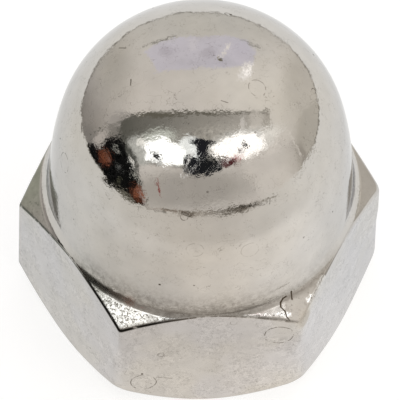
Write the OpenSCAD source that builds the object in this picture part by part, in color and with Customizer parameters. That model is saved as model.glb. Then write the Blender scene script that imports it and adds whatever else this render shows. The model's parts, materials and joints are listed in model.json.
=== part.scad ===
// Domed cap nut, M8: one solid turned from hexagon bar, with a blind threaded hole from below.
// Millimetres, +Z up. The origin is the centre of the bearing face, which lies on z = 0.
// Two of the six corners lie on the X axis, so one flat faces -Y.

/* [Hexagon] */
// Width across the flats
across_flats = 13; // [11.4:0.1:16]
// Height of the ring where the corner chamfer ends and the neck begins, above the bearing face
hex_height = 6.12; // [4:0.02:7.6]
// How far the round edge of the bearing face stands in from the flats, on each side
bearing_inset = 0.05; // [0.05:0.05:1]
// Slope of the lower chamfer, from the horizontal, in degrees
lower_chamfer_angle = 46; // [15:1:60]
// Slope of the upper corner chamfer, from the horizontal, in degrees
upper_chamfer_angle = 38; // [30:1:42]

/* [Neck] */
// How far the ring lies outside the flats, so that each flat cuts through the neck
ring_reach = 0.12; // [0.1:0.02:0.2]
// Slope of the hollow neck just inside the ring, from the horizontal, in degrees
neck_start_angle = 46; // [45:1:52]
// Radius of the hollow neck, which leads from the ring up into the collar
neck_radius = 1.12; // [0.8:0.02:1.2]

/* [Dome] */
// Height over all, from the bearing face to the top of the dome
total_height = 15.2; // [14:0.1:20]
// How far the dome's sphere stands in from the flats, on each side
dome_inset = 0.45; // [0.4:0.01:0.5]
// Angle above the dome's centre at which its sphere passes into the flank, in degrees
flank_start = 12; // [9:0.5:14]
// Radius of the flank, the wide arc between the dome and the collar
flank_radius = 14.6; // [12:0.2:16]

/* [Thread] */
// Nominal thread diameter, at the bottom of the thread's grooves
thread_diameter = 8; // [5:0.5:10]
// Thread pitch
thread_pitch = 1.25; // [0.5:0.05:1.5]
// How much wider than the thread the countersunk mouth is, on each side
mouth_margin = 0.25; // [0:0.05:1]
// Full angle of the countersink, in degrees
mouth_angle = 90; // [60:5:120]
// Metal left between the drill point and the top of the dome
crown_thickness = 2.2; // [1.2:0.1:4]
// Full angle of the drill point, in degrees
drill_point_angle = 118; // [100:1:140]

/* [Finish] */
// Colour of the nickel plating
nickel = "#cbc6bf";

/* [Hidden] */
$fn = 96;

// Extra length that carries each cut past the surface it opens
cut_margin = 0.5;
// How deep the end of each smooth arc or line is sunk into the next, so that the two cross
joint_sink = 0.001;

// Hexagon: the turned chamfers run on past the corners, which lie inside them
flat_radius = across_flats / 2;
corner_radius = flat_radius / cos(30);
turned_radius = corner_radius + cut_margin;
bearing_radius = flat_radius - bearing_inset;
ring_radius = flat_radius + ring_reach;
lower_chamfer_end = (turned_radius - bearing_radius) * tan(lower_chamfer_angle);
upper_chamfer_end = hex_height - (turned_radius - ring_radius) * tan(upper_chamfer_angle);

// Dome: the flank's circle touches the sphere from outside, at flank_start
dome_radius = flat_radius - dome_inset;
dome_centre = total_height - dome_radius;
dome_bottom = dome_centre + dome_radius * sin(flank_start);
flank_setback = flank_radius - dome_radius + joint_sink;
flank_centre = [
    -flank_setback * cos(flank_start),
    dome_centre - flank_setback * sin(flank_start)
];

// Neck: its circle passes through the ring, a little steeper there than the chamfer. The
// chamfer's cone runs on inside the neck, and the neck starts inside the hexagon.
neck_centre = [
    ring_radius + neck_radius * sin(neck_start_angle),
    hex_height + neck_radius * cos(neck_start_angle)
];
neck_overlap = neck_radius * sin(neck_start_angle - upper_chamfer_angle) / 2;

// Collar: the straight line that touches the neck's circle outside and the flank's inside,
// which leans in by the draft angle
gap = neck_centre - flank_centre;
draft_angle = atan2(gap[1], gap[0]) + acos((flank_radius + neck_radius) / norm(gap));
collar_normal = [cos(draft_angle), sin(draft_angle)];
collar_foot = neck_centre - (neck_radius - joint_sink) * collar_normal;
collar_top = flank_centre + (flank_radius - joint_sink) * collar_normal;
collar_start = collar_foot - (collar_top - collar_foot) / 4;

// Blind hole: the bore is the thread's minor diameter, the crests of a 60 degree thread
bore_radius = (thread_diameter - 1.0825 * thread_pitch) / 2;
drill_tip = total_height - crown_thickness;
bore_depth = drill_tip - bore_radius / tan(drill_point_angle / 2);
mouth_radius = thread_diameter / 2 + mouth_margin;
mouth_depth = (mouth_radius - bore_radius) / tan(mouth_angle / 2);

// Half section of the hexagon's turned faces: the lower and the upper chamfer
module hexagon_section() {
    polygon([
        [0, 0],
        [bearing_radius, 0],
        [turned_radius, lower_chamfer_end],
        [turned_radius, upper_chamfer_end],
        [ring_radius - neck_overlap, hex_height + neck_overlap * tan(upper_chamfer_angle)],
        [0, hex_height + neck_overlap * tan(upper_chamfer_angle)]
    ]);
}

// Half section of the hollow neck between the ring and the collar
module neck_section() {
    difference() {
        translate([0, hex_height - neck_overlap])
            square([ring_radius + neck_overlap, collar_foot[1] - hex_height + neck_overlap]);
        translate(neck_centre)
            circle(neck_radius);
    }
}

// Half section of the straight collar, which starts inside the neck
module collar_section() {
    polygon([[0, collar_start[1]], collar_start, collar_top, [0, collar_top[1]]]);
}

// Half section of the flank, a slice of its wide circle that starts inside the collar
module flank_section() {
    intersection() {
        translate(flank_centre)
            circle(flank_radius);
        translate([0, collar_foot[1]])
            square([flat_radius, dome_bottom - collar_foot[1]]);
    }
}

// Half section of the dome, which starts inside the flank
module dome_section() {
    translate([0, dome_centre])
        intersection() {
            circle(dome_radius);
            square(dome_radius);
        }
}

// Everything that the lathe turns on the outside
module turned_outside() {
    rotate_extrude() {
        hexagon_section();
        neck_section();
        collar_section();
        flank_section();
        dome_section();
    }
}

// The hexagon bar, as long as the nut is high
module hexagon_bar() {
    cylinder(r = corner_radius, h = total_height + cut_margin, $fn = 6);
}

// The drilled hole with its drill point, opened below by the countersink
module blind_bore() {
    rotate_extrude()
        polygon([
            [0, -cut_margin],
            [mouth_radius + cut_margin * tan(mouth_angle / 2), -cut_margin],
            [bore_radius, mouth_depth],
            [bore_radius, bore_depth],
            [0, drill_tip]
        ]);
}

module cap_nut() {
    color(nickel)
        difference() {
            intersection() {
                hexagon_bar();
                turned_outside();
            }
            blind_bore();
        }
}

cap_nut();
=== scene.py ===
"""Domed cap nut, M8, in bright nickel plate: its finished surface, its studio and its camera."""
import json
import math
from functools import reduce

import bpy
import numpy as np
from mathutils import Matrix, Vector


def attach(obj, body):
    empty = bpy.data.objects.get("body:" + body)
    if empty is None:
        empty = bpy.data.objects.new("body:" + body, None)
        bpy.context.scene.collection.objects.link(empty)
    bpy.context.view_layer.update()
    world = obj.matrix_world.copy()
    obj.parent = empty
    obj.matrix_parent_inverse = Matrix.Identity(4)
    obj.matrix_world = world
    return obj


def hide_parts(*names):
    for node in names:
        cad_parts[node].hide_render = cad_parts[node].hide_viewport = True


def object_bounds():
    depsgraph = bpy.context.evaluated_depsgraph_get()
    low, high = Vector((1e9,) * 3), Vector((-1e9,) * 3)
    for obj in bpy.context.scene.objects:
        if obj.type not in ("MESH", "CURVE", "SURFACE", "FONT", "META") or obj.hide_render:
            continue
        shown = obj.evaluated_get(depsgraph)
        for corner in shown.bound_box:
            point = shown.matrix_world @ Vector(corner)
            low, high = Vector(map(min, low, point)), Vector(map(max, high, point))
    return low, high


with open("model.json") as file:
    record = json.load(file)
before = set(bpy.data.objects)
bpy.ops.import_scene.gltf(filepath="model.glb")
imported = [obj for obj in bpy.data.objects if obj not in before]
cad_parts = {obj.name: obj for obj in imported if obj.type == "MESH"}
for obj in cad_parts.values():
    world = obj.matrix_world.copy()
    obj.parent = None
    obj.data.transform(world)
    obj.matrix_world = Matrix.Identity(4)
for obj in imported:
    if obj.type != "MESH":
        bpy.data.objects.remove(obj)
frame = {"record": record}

bl_info = {
    "name": "Domed cap nut",
    "version": (1, 0, 0),
    "blender": (4, 5, 0),
    "location": "3D View > Sidebar > Cap nut",
    "description": "Builds a nickel-plated domed cap nut with its thread, finish and studio",
    "category": "Object",
}

NODE = "cap_nut"
MM = 0.001
CAD_LOW, CAD_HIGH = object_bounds()
THREAD = next(m for m in frame["record"]["mounts"] if m["name"] == "thread")
BORE_RADIUS = THREAD["dims"]["r_mm"] * MM
BORE_LENGTH = THREAD["dims"]["length_mm"] * MM


# ---------------------------------------------------------------- settings

class NutSizes(bpy.types.PropertyGroup):
    """Sizes of the nut's finished surface."""
    flats: bpy.props.FloatProperty(
        name="Across flats", description="Width across the flats",
        default=CAD_HIGH.y - CAD_LOW.y, unit="LENGTH", precision=5)
    height: bpy.props.FloatProperty(
        name="Height", description="Height over all",
        default=CAD_HIGH.z, unit="LENGTH", precision=5)
    hex_height: bpy.props.FloatProperty(
        name="Hexagon height", description="Height of the ring where the corner chamfer ends",
        default=6.12 * MM, unit="LENGTH", precision=5)
    bearing_inset: bpy.props.FloatProperty(
        name="Bearing inset", description="How far the bearing face's round edge stands in from the flats",
        default=0.05 * MM, unit="LENGTH", precision=5)
    lower_chamfer: bpy.props.FloatProperty(
        name="Lower chamfer", description="Slope of the lower chamfer from the horizontal",
        default=math.radians(46), subtype="ANGLE")
    upper_chamfer: bpy.props.FloatProperty(
        name="Upper chamfer", description="Slope of the corner chamfer from the horizontal",
        default=math.radians(38), subtype="ANGLE")
    ring_reach: bpy.props.FloatProperty(
        name="Ring reach", description="How far the ring lies outside the flats",
        default=0.12 * MM, unit="LENGTH", precision=5)
    neck_start: bpy.props.FloatProperty(
        name="Neck start", description="Slope of the hollow neck just inside the ring, from the horizontal",
        default=math.radians(46), subtype="ANGLE")
    neck_radius: bpy.props.FloatProperty(
        name="Neck radius", description="Radius of the hollow between the ring and the collar",
        default=1.12 * MM, unit="LENGTH", precision=5)
    dome_inset: bpy.props.FloatProperty(
        name="Dome inset", description="How far the dome's sphere stands in from the flats",
        default=0.45 * MM, unit="LENGTH", precision=5)
    flank_start: bpy.props.FloatProperty(
        name="Flank start", description="Angle above the dome's centre at which its sphere becomes the flank",
        default=math.radians(12), subtype="ANGLE")
    flank_radius: bpy.props.FloatProperty(
        name="Flank radius", description="Radius of the flank's wide arc between the dome and the collar",
        default=14.6 * MM, unit="LENGTH", precision=5)
    pitch: bpy.props.FloatProperty(
        name="Thread pitch", description="Rise of the thread in one turn",
        default=1.25 * MM, unit="LENGTH", precision=5)
    mouth_margin: bpy.props.FloatProperty(
        name="Mouth margin", description="How much wider than the thread the countersink is, on each side",
        default=0.25 * MM, unit="LENGTH", precision=5)
    crown: bpy.props.FloatProperty(
        name="Crown thickness", description="Metal between the drill point and the top of the dome",
        default=2.2 * MM, unit="LENGTH", precision=5)


class NutFinish(bpy.types.PropertyGroup):
    """Colour, polish and wear of the nickel."""
    nickel: bpy.props.FloatVectorProperty(
        name="Nickel", description="Colour of the nickel plating",
        subtype="COLOR", size=3, min=0, max=1, default=(0.62, 0.595, 0.565))
    grime: bpy.props.FloatVectorProperty(
        name="Grime", description="Colour of dried dirt and of dark marks",
        subtype="COLOR", size=3, min=0, max=1, default=(0.085, 0.065, 0.045))
    turned_roughness: bpy.props.FloatProperty(
        name="Turned roughness", description="Roughness of the turned and polished faces",
        default=0.024, min=0, max=1, subtype="FACTOR")
    flat_roughness: bpy.props.FloatProperty(
        name="Flat roughness", description="Roughness of the six flats",
        default=0.22, min=0, max=1, subtype="FACTOR")
    stain: bpy.props.FloatProperty(
        name="Stain", description="How much the plating's tone varies",
        default=0.048, min=0, max=1, subtype="FACTOR")
    ripple: bpy.props.FloatProperty(
        name="Ripple", description="Height of the finest ripples in the plating",
        default=0.0009 * MM, unit="LENGTH", precision=7)


class NutStage(bpy.types.PropertyGroup):
    """Camera and studio."""
    azimuth: bpy.props.FloatProperty(
        name="Azimuth", description="Camera's direction round the nut, from the front",
        default=math.radians(-5.294), subtype="ANGLE")
    elevation: bpy.props.FloatProperty(
        name="Elevation", description="Camera's height above the horizon",
        default=math.radians(56.319), subtype="ANGLE")
    roll: bpy.props.FloatProperty(
        name="Roll", description="Camera's turn about its own axis",
        default=math.radians(1.826), subtype="ANGLE")
    distance: bpy.props.FloatProperty(
        name="Distance", description="Camera's distance from the nut",
        default=0.526818, unit="LENGTH", precision=5)
    lens: bpy.props.FloatProperty(
        name="Lens", description="Focal length on a sensor 36 mm wide, in millimetres",
        default=1146.76)
    aim_height: bpy.props.FloatProperty(
        name="Aim height", description="Height of the point that the camera looks at",
        default=5.152 * MM, unit="LENGTH", precision=5)
    table_radius: bpy.props.FloatProperty(
        name="Table radius", description="Radius of the white table",
        default=0.04, unit="LENGTH", precision=5)


# ---------------------------------------------------------------- shape

# round the nut in steps of 30 degrees from +X: how far polishing and wear round the upper
# edge of the flats, in millimetres; the first value of each pair is at a corner
EDGE_WEAR = (0.26, 0.08, 0.10, 0.07, 0.10, 0.07, 0.16, 0.07, 0.17, 0.06, 0.18, 0.08)
# rounding of the six corners, from +X, in millimetres: near their upper and their lower ends
CORNER_TOP = (0.50, 0.25, 0.20, 0.14, 0.16, 0.34)
CORNER_FOOT = (0.90, 0.30, 0.25, 0.14, 0.90, 0.95)
# how far the chamfers' cones run on past the corners, and the rounding of the foot's edge
PAST_CORNERS = 0.5 * MM
CREASE = 0.02 * MM
# length of the thread's run-out, in pitches
RUNOUT = 1.6
# columns round each corner and along each flat
CORNER_COLUMNS, FLAT_COLUMNS = 11, 31
# points along the neck and along the flank, and along the dome
ARC_POINTS, DOME_POINTS = 41, 161
# rows of the drill point, of the thread and of the countersink
POINT_ROWS, THREAD_ROWS, MOUTH_ROWS = 7, 136, 20


def corner_geometry(flat_radius, rounding):
    """For corners rounded by a circle that touches both flats: the circle centre's distance
    from the axis, (flat_radius - rounding) / cos 30, and the half angle that the arc covers,
    seen from the axis."""
    centre = (flat_radius - rounding) / math.cos(math.pi / 6)
    return centre, np.arctan2(rounding / 2, centre + rounding * math.cos(math.pi / 6))


def hexagon_reach(angle, flat_radius, rounding):
    """Distance from the axis to the hexagon in a direction, with its corners rounded.
    Between the corners it is flat_radius over the cosine of the angle to the nearest flat's
    middle. Near a corner it is the far crossing of the ray with the corner's circle:
    L cos a + sqrt(rho^2 - (L sin a)^2), with a the angle to the corner, rho the rounding
    and L the circle centre's distance from the axis."""
    a = angle - np.round(angle / (math.pi / 3)) * math.pi / 3
    centre, turn = corner_geometry(flat_radius, rounding)
    straight = flat_radius / np.cos(math.pi / 6 - np.abs(a))
    arc = centre * np.cos(a) + np.sqrt(np.maximum(rounding ** 2 - (centre * np.sin(a)) ** 2, 0))
    return np.where(np.abs(a) < turn, arc, straight)


def nearest_corner(angle):
    return np.round(angle / (math.pi / 3)).astype(int) % 6


def column_angles(flat_radius):
    """Directions of the surface's columns: close together round each corner, and evenly
    spaced along each flat."""
    turn = corner_geometry(flat_radius, np.maximum(CORNER_TOP, CORNER_FOOT) * MM)[1]
    found = []
    for k in range(6):
        start, end = turn[k] * 1.2, math.pi / 3 - turn[(k + 1) % 6] * 1.2
        found.append(k * math.pi / 3 + turn[k] * np.linspace(-1, 1, CORNER_COLUMNS))
        found.append(k * math.pi / 3 + start + (end - start) * np.linspace(0, 1, FLAT_COLUMNS))
    return np.sort(np.concatenate(found) % (2 * math.pi))


class Path:
    """A plane curve in radius and height, walked by its length."""

    def __init__(self, points):
        self.points = points
        self.length = np.concatenate([[0], np.cumsum(np.linalg.norm(np.diff(points, axis=0), axis=1))])

    def at(self, s):
        return np.stack([np.interp(s, self.length, self.points[:, i]) for i in (0, 1)], -1)

    def where_radius(self, radius, rising):
        """Length at which a path whose radius only grows or only shrinks has a radius."""
        r = self.points[:, 0] if rising else -self.points[:, 0]
        return np.interp(radius if rising else -radius, r, self.length)


def arc(centre, radius, start, end, steps):
    """Points of a circle's arc from one angle to another, in radius and height."""
    t = np.linspace(start, end, steps)
    return np.stack([centre[0] + radius * np.cos(t), centre[1] + radius * np.sin(t)], -1)


def towards(angle):
    return np.array([math.cos(angle), math.sin(angle)])


class Outline:
    """The turned section above the flats as one path: the corner chamfer's cone, the hollow
    neck, the straight collar, the flank's wide arc and the dome's sphere. The flank's circle
    touches the sphere at flank_start. The collar is the straight line that touches the neck's
    circle outside and the flank's inside, so its normal n satisfies
    (neck centre - flank centre) . n = flank radius + neck radius."""

    def __init__(self, size):
        flat = size.flats / 2
        ring = flat + size.ring_reach
        beyond = flat / math.cos(math.pi / 6) + PAST_CORNERS
        dome = flat - size.dome_inset
        centre = np.array([0, size.height - dome])
        flank_centre = centre - (size.flank_radius - dome) * towards(size.flank_start)
        neck_centre = np.array([ring, size.hex_height]) + size.neck_radius * np.array(
            [math.sin(size.neck_start), math.cos(size.neck_start)])
        gap = neck_centre - flank_centre
        lean = math.acos((size.flank_radius + size.neck_radius) / np.linalg.norm(gap))
        draft = math.atan2(gap[1], gap[0]) + lean
        chamfer = np.array([[beyond, size.hex_height - (beyond - ring) * math.tan(size.upper_chamfer)]])
        neck_from = -math.pi / 2 - size.neck_start
        neck = arc(neck_centre, size.neck_radius, neck_from, draft - math.pi, ARC_POINTS)
        flank = arc(flank_centre, size.flank_radius, draft, size.flank_start, ARC_POINTS)
        cap = arc(centre, dome, size.flank_start, math.pi / 2, DOME_POINTS)
        self.path = Path(np.concatenate([chamfer, neck, flank, cap[1:]]))
        self.ring_at = self.path.length[1]
        self.neck_end = self.path.length[ARC_POINTS]
        self.dome_at = self.path.length[2 * ARC_POINTS]
        self.beyond = beyond
        self.flat = flat

    def radius(self, height):
        return float(np.interp(height, self.path.points[:, 1], self.path.points[:, 0]))

    def spot(self, azimuth, height):
        """The point of the nut's skin at an azimuth in degrees and a height in millimetres,
        with the corners rounded by a tenth of a millimetre."""
        a = math.radians(azimuth)
        cut = float(hexagon_reach(np.array([a]), self.flat, np.array([0.1 * MM]))[0])
        r = min(cut, self.radius(height * MM))
        return r * math.cos(a), r * math.sin(a), height * MM


def rows_between(first, last, shares):
    """Rows of values that go from one column array to another by the given shares."""
    return first[None, :] + (last - first)[None, :] * shares[:, None]


def bend(before, corner, after, count):
    """Rows that round an edge: the quadratic curve from before to after whose control point
    is the corner, for every column at once."""
    t = np.linspace(0, 1, count + 1)[:, None, None]
    return (1 - t) ** 2 * before[None] + 2 * t * (1 - t) * corner[None] + t ** 2 * after[None]


def groove_depth(pitch):
    """Five eighths of the height of the sharp 60 degree thread, pitch * sqrt(3) / 2."""
    return 5 / 8 * math.sqrt(3) / 2 * pitch


def thread_depth(angle, z, pitch, top, runout):
    """Depth of the internal thread's groove. With w the height above or below the groove's
    middle, which climbs one pitch in a turn, the depth is full within pitch / 16, falls along
    the 60 degree flanks, and is nothing beyond: h * clip(1 - (w - pitch/16) / (h tan 30)),
    with h the groove's full depth. It fades out over the run-out below the top of the hole."""
    full = groove_depth(pitch)
    share = (z / pitch - angle / (2 * math.pi)) % 1
    w = np.abs(share - 0.5) * pitch
    depth = full * np.clip(1 - (w - pitch / 16) / (full * math.tan(math.pi / 6)), 0, 1)
    fade = np.clip((top - z) / runout, 0, 1)
    return np.maximum(depth - full * (1 - fade), 0)


class Grid:
    """Rows of points, one per column, with the zone shares of each point."""
    ZONES = ("milled", "chamfer", "edge", "bore")

    def __init__(self, columns):
        self.columns = columns
        self.rows = []
        self.zones = {name: [] for name in self.ZONES}

    def add(self, points, **shares):
        if points.ndim == 2:
            points = points[:, None, :]
        points = np.broadcast_to(points, (len(points), self.columns, 2))
        self.rows.append(points)
        for name in self.ZONES:
            self.zones[name].append(np.broadcast_to(shares.get(name, 0.0), points.shape[:2]))


def hole_rows(grid, size, angle):
    """The blind hole from its drill point down: cone, threaded wall and countersink."""
    mouth = BORE_RADIUS + groove_depth(size.pitch) + size.mouth_margin
    tip = size.height - size.crown
    mouth_depth = mouth - BORE_RADIUS
    bore_top = mouth_depth + BORE_LENGTH
    t = np.linspace(0, 1, POINT_ROWS)[1:-1]
    grid.add(np.stack([BORE_RADIUS * t, tip + (bore_top - tip) * t], -1), bore=1.0)
    z = np.concatenate([np.linspace(bore_top, mouth_depth, THREAD_ROWS),
                        np.linspace(mouth_depth, 0, MOUTH_ROWS)[1:]])[:, None]
    wall = BORE_RADIUS + thread_depth(angle[None], z, size.pitch, bore_top, RUNOUT * size.pitch)
    wall = np.maximum(wall, mouth - z)
    grid.add(np.stack([wall, np.broadcast_to(z, wall.shape)], -1), bore=1.0)
    return mouth, tip


def foot_rows(grid, size, outline, mouth, reach, soft):
    """The bearing face, its round edge and the lower chamfer, up to the flats."""
    bearing = size.flats / 2 - size.bearing_inset
    rise = (outline.beyond - bearing) * math.tan(size.lower_chamfer)
    lower = Path(np.array([[mouth, 0], [bearing, 0], [outline.beyond, rise]]))
    crease = lower.where_radius(bearing, True)
    grid.add(lower.at(np.array([0.06 * MM, 0.5 * crease, crease - 0.12 * MM])))
    grid.add(bend(lower.at(crease - CREASE), lower.at(crease), lower.at(crease + CREASE), 3))
    low_at = lower.where_radius(reach, True)
    low_soft = np.minimum(soft, 0.4 * (low_at - crease))
    start = np.minimum(crease + CREASE * 1.2, low_at - low_soft)
    grid.add(lower.at(rows_between(start, low_at - low_soft, np.linspace(0, 1, 6))))
    corner = lower.at(low_at)
    above = np.stack([reach, corner[:, 1] + low_soft], -1)
    grid.add(bend(lower.at(low_at - low_soft), corner, above, 5)[1:], milled=0.5)
    return above[:, 1]


def nut_surface(size):
    """The whole skin of the nut as a grid of points, rows by columns. Each column is one
    closed half section: down the hole's wall, out over the bearing face, up the flat and over
    the dome. In direction a the flats cut the turned section at hexagon_reach(a)."""
    flat_radius = size.flats / 2
    angle = column_angles(flat_radius)
    corner = nearest_corner(angle)
    top_round = np.array(CORNER_TOP)[corner] * MM
    foot_round = np.array(CORNER_FOOT)[corner] * MM
    wear = np.interp(angle, np.radians(np.arange(13) * 30), np.append(EDGE_WEAR, EDGE_WEAR[0])) * MM
    outline = Outline(size)
    upper = outline.path
    grid = Grid(len(angle))
    mouth, tip = hole_rows(grid, size, angle)
    foot_reach = hexagon_reach(angle, flat_radius, foot_round)
    low = foot_rows(grid, size, outline, mouth, foot_reach, wear)

    # flats, whose corners are less rounded near their upper ends
    top_reach = hexagon_reach(angle, flat_radius, top_round)
    top_at = upper.where_radius(top_reach, False)
    top_corner = upper.at(top_at)
    top = top_corner[:, 1] - wear
    shares = np.array([0.015, 0.06, 0.2, 0.4, 0.5, 0.58, 0.66, 0.74, 0.82, 0.9, 0.96, 0.99])
    heights = rows_between(low, top, shares)
    rise = np.clip((heights / size.hex_height - 0.5) / 0.2, 0, 1)
    rounding = foot_round + (top_round - foot_round) * rise * rise * (3 - 2 * rise)
    grid.add(np.stack([hexagon_reach(angle, flat_radius, rounding), heights], -1), milled=1.0)
    across = np.linspace(0, 1, 8)[:, None]
    grid.add(bend(np.stack([top_reach, top], -1), top_corner, upper.at(top_at + wear), 7),
             milled=1 - across, chamfer=across, edge=1 - np.abs(2 * across - 1))

    # corner chamfer, ring, neck, collar, flank and dome
    start = top_at + wear
    ring_at = np.maximum(outline.ring_at, start + 0.2 * (outline.neck_end - start))
    neck_end = np.full_like(start, outline.neck_end)
    s = rows_between(start, ring_at, np.linspace(0, 1, 11)[1:])
    grid.add(upper.at(s), chamfer=np.clip((outline.ring_at - s) / (0.03 * MM), 0, 1))
    grid.add(upper.at(rows_between(ring_at, neck_end, np.linspace(0, 1, 15)[1:])))
    grid.add(upper.at(np.linspace(outline.neck_end, outline.dome_at, 13)[1:]))
    grid.add(upper.at(np.linspace(outline.dome_at, upper.length[-1], 75)[1:-1]))

    rows = np.concatenate(grid.rows)
    points = np.stack([rows[..., 0] * np.cos(angle), rows[..., 0] * np.sin(angle), rows[..., 1]], -1)
    return points, {name: np.concatenate(parts) for name, parts in grid.zones.items()}, tip, size.height


def closed_mesh(name, points, zones, bottom, top):
    """A watertight mesh from a grid whose columns close on themselves and whose first and last
    rows meet a pole on the axis. Corner indices are worked out as whole arrays."""
    n_rows, n_cols = points.shape[:2]
    verts = np.concatenate([points.reshape(-1, 3), [[0, 0, bottom], [0, 0, top]]])
    index = np.arange(n_rows * n_cols).reshape(n_rows, n_cols)
    right = np.roll(index, -1, axis=1)
    quads = np.stack([index[:-1], right[:-1], right[1:], index[1:]], -1).reshape(-1, 4)
    first, last = len(verts) - 2, len(verts) - 1
    fan_a = np.stack([np.full(n_cols, first), right[0], index[0]], -1)
    fan_b = np.stack([index[-1], right[-1], np.full(n_cols, last)], -1)
    loops = np.concatenate([quads.ravel(), fan_a.ravel(), fan_b.ravel()])
    sizes = np.concatenate([np.full(len(quads), 4), np.full(2 * n_cols, 3)])
    starts = np.concatenate([[0], np.cumsum(sizes)[:-1]])
    mesh = bpy.data.meshes.new(name)
    mesh.vertices.add(len(verts))
    mesh.vertices.foreach_set("co", verts.astype(np.float32).ravel())
    mesh.loops.add(len(loops))
    mesh.loops.foreach_set("vertex_index", loops.astype(np.int32))
    mesh.polygons.add(len(sizes))
    mesh.polygons.foreach_set("loop_start", starts.astype(np.int32))
    mesh.polygons.foreach_set("use_smooth", np.ones(len(sizes), bool))
    mesh.update(calc_edges=True)
    mesh.validate()
    for zone, shares in zones.items():
        layer = mesh.attributes.new(zone, "FLOAT", "POINT")
        layer.data.foreach_set("value", np.append(shares.ravel(), [0, 0]).astype(np.float32))
    return mesh


# ---------------------------------------------------------------- node helpers

class Net:
    """Short calls that add nodes to a material's or world's tree and link them."""

    def __init__(self, tree):
        self.tree = tree
        self.tree.nodes.clear()

    def add(self, kind, **values):
        node = self.tree.nodes.new(kind)
        for key, value in values.items():
            setattr(node, key, value)
        return node

    def put(self, socket, value):
        if isinstance(value, bpy.types.NodeSocket):
            self.tree.links.new(value, socket)
        else:
            if isinstance(value, tuple) and len(value) == 3 and socket.type == "RGBA":
                value = (*value, 1)
            socket.default_value = value

    def feed(self, node, *values):
        """Puts values or links into a node's inputs, in their order, and gives its outputs."""
        for socket, value in zip(node.inputs, values):
            self.put(socket, value)
        return node.outputs

    def node(self, kind, **inputs):
        """The outputs of a new node whose inputs are given by name, with _ for a space."""
        node = self.add(kind)
        for name, value in inputs.items():
            self.put(node.inputs[name.replace("_", " ")], value)
        return node.outputs

    def math(self, operation, *inputs, clamp=False):
        return self.feed(self.add("ShaderNodeMath", operation=operation, use_clamp=clamp), *inputs)[0]

    def vec(self, operation, *inputs):
        found = self.feed(self.add("ShaderNodeVectorMath", operation=operation), *inputs)
        return found["Value" if operation in ("LENGTH", "DISTANCE", "DOT_PRODUCT") else "Vector"]

    def mix(self, share, a, b):
        node = self.add("ShaderNodeMix", data_type="RGBA")
        for index, value in ((0, share), (6, a), (7, b)):
            self.put(node.inputs[index], value)
        return node.outputs[2]

    def fade(self, value, start, end, low=0.0, high=1.0, smooth=True):
        """A value's fade from low at the start to high at the end."""
        node = self.add("ShaderNodeMapRange", interpolation_type="SMOOTHSTEP" if smooth else "LINEAR")
        return self.feed(node, value, start, end, low, high)[0]

    def fade_mm(self, value, start, end, low=0.0, high=1.0):
        """The same for a length, with the start and the end in millimetres."""
        return self.fade(value, start * MM, end * MM, low, high)

    def noise(self, vector, scale, detail=2.0, roughness=0.5, output="Fac"):
        """Noise from 0 to 1. Its scale is in waves per unit of the vector, which is a metre on
        the nut and a hundredth of the ball's radius in the room."""
        return self.node("ShaderNodeTexNoise", Vector=vector, Scale=scale, Detail=detail,
                         Roughness=roughness)[output]

    def cells(self, vector, scale):
        """Distance to the nearest of scattered points, in cell widths, and that point's three
        chance values."""
        found = self.node("ShaderNodeTexVoronoi", Vector=vector, Scale=scale)
        return found["Distance"], self.node("ShaderNodeSeparateColor", Color=found["Color"])

    def most(self, *values):
        return reduce(lambda a, b: self.math("MAXIMUM", a, b), values)

    def times(self, *values):
        return reduce(lambda a, b: self.math("MULTIPLY", a, b), values)

    def without(self, share):
        """What a share leaves of 1."""
        return self.math("SUBTRACT", 1.0, share)

    def off(self, value, middle):
        """How far a value lies from a middle value, on either side."""
        return self.math("ABSOLUTE", self.math("SUBTRACT", value, middle))

    def combine(self, *parts):
        return self.feed(self.add("ShaderNodeCombineXYZ"), *parts)[0]

    def grey(self, value):
        return self.combine(value, value, value)

    def parts(self, vector):
        return self.feed(self.add("ShaderNodeSeparateXYZ"), vector)

    def place(self, vector, scale, location=(0, 0, 0), turn=0.0):
        """A vector as seen from axes at a location, turned about Z and scaled."""
        node = self.add("ShaderNodeMapping", vector_type="TEXTURE")
        return self.feed(node, vector, location, (0, 0, turn), scale)[0]


def new_material(name):
    material = bpy.data.materials.new(name)
    material.use_nodes = True
    return material, Net(material.node_tree)


# ---------------------------------------------------------------- finish

# dried rings on the plating: azimuth and height of the centre, radius, strength
RINGS = (
    (-66.4, 4.66, 0.60, 0.80), (-112.6, 1.56, 0.52, 0.70), (-107.2, 3.55, 0.13, 0.6),
    (-81.8, 5.72, 0.13, 0.4), (-166.6, 10.44, 0.42, 0.55), (-25.9, 14.73, 0.37, 0.45),
    (-3.2, 13.19, 0.12, 0.7), (-96.7, 10.35, 0.36, 0.25), (-74.7, 10.01, 0.38, 0.25),
    (68.9, 14.27, 0.10, 0.8), (138.0, 13.71, 0.10, 0.6), (-102.0, 11.90, 0.16, 0.6),
    (34.0, 3.60, 0.55, 0.55), (97.0, 10.9, 0.45, 0.4), (152.0, 2.30, 0.50, 0.6),
    (-28.0, 2.2, 0.35, 0.3),
)
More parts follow.
